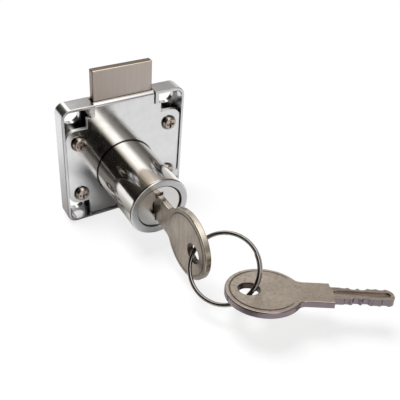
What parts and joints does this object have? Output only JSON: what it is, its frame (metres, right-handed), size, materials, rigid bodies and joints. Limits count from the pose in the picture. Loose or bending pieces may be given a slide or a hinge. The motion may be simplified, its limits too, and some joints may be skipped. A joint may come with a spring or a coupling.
{
  "type": "cabinet lock",
  "caption": "Surface-mounted cabinet lock: square case, round key cylinder on a screwed cover, sliding dead bolt driven by the plug's eccentric pin, flat key and a spare on a wire ring.",
  "frame": {"origin": "on the cylinder's axis, in the plane of the case's front rim, which seats on the panel", "axes": "+Z the way the bolt is thrown, -Y out of the front, where the key goes in, +X right as seen from the front"},
  "size_m": [0.0604, 0.0867, 0.0495],
  "materials": {
    "chromed_zinc": "bright chrome plate on die-cast zinc",
    "chromed_steel": "mirror-bright chrome plate on sheet steel",
    "nickelled_screw": "nickel plate",
    "cast_zinc": "as cast",
    "polished_sleeve": "polished nickel-chrome plate",
    "plug_zinc": "satin chrome plate",
    "spring_steel": "plain",
    "wafer_brass": "stamped",
    "brushed_nickel": "brushed nickel plate",
    "key_nickel": "tumbled nickel plate",
    "ring_wire": "bright drawn wire"
  },
  "bodies": {
    "lock": {"case": "chromed_zinc", "cover_plate": "chromed_steel", "cover_screws": "nickelled_screw", "cylinder_housing": "cast_zinc", "trim_sleeve": "polished_sleeve"},
    "plug": {"plug": "plug_zinc", "retaining_clip": "spring_steel", "wafer_spring_1": "spring_steel", "wafer_spring_2": "spring_steel", "wafer_spring_3": "spring_steel", "wafer_spring_4": "spring_steel", "wafer_spring_5": "spring_steel"},
    "bolt": {"bolt": "brushed_nickel"},
    "key": {"key": "key_nickel"},
    "ring": {"key_ring": "ring_wire"},
    "spare": {"spare_key": "key_nickel"},
    "wafer_1": {"wafer_1": "wafer_brass"},
    "wafer_2": {"wafer_2": "wafer_brass"},
    "wafer_3": {"wafer_3": "wafer_brass"},
    "wafer_4": {"wafer_4": "wafer_brass"},
    "wafer_5": {"wafer_5": "wafer_brass"}
  },
  "joints": [
    {"name": "plug_turn", "type": "hinge", "parent": "lock", "child": "plug", "pos_m": [0, 0, 0], "axis": [0, 1, 0], "range_deg": [0, 180]},
    {"name": "bolt_slide", "type": "slide", "parent": "lock", "child": "bolt", "axis": [0, 0, -1], "range_m": [0, 0.0093]},
    {"name": "key_pull", "type": "slide", "parent": "plug", "child": "key", "axis": [0, -1, 0], "range_m": [0, 0.06]},
    {"name": "ring_swing", "type": "hinge", "parent": "key", "child": "ring", "pos_m": [0, -0.04305, -0.00095], "axis": [1, 0, 0], "range_deg": [-30, 75]},
    {"name": "spare_swing", "type": "hinge", "parent": "ring", "child": "spare", "pos_m": [0.00708, -0.05883, -0.00485], "axis": [0.7176, 0.0075, 0.6964], "range_deg": [-40, 40]},
    {"name": "wafer_1_slide", "type": "slide", "parent": "plug", "child": "wafer_1", "axis": [0, 0, 1], "range_m": [0, 0.00091], "deforming": ["wafer_spring_1"]},
    {"name": "wafer_2_slide", "type": "slide", "parent": "plug", "child": "wafer_2", "axis": [0, 0, -1], "range_m": [0, 0.00091], "deforming": ["wafer_spring_2"]},
    {"name": "wafer_3_slide", "type": "slide", "parent": "plug", "child": "wafer_3", "axis": [0, 0, 1], "range_m": [0, 0.00091], "deforming": ["wafer_spring_3"]},
    {"name": "wafer_4_slide", "type": "slide", "parent": "plug", "child": "wafer_4", "axis": [0, 0, -1], "range_m": [0, 0.00091], "deforming": ["wafer_spring_4"]},
    {"name": "wafer_5_slide", "type": "slide", "parent": "plug", "child": "wafer_5", "axis": [0, 0, 1], "range_m": [0, 0.00091], "deforming": ["wafer_spring_5"]}
  ],
  "couplings": [
    {"joint": "bolt_slide", "follows": "plug_turn", "m_per_rad": 0.0029285},
    {"joint": "wafer_1_slide", "follows": "key_pull", "ratio": 0.015},
    {"joint": "wafer_2_slide", "follows": "key_pull", "ratio": 0.015},
    {"joint": "wafer_3_slide", "follows": "key_pull", "ratio": 0.015},
    {"joint": "wafer_4_slide", "follows": "key_pull", "ratio": 0.015},
    {"joint": "wafer_5_slide", "follows": "key_pull", "ratio": 0.015}
  ]
}
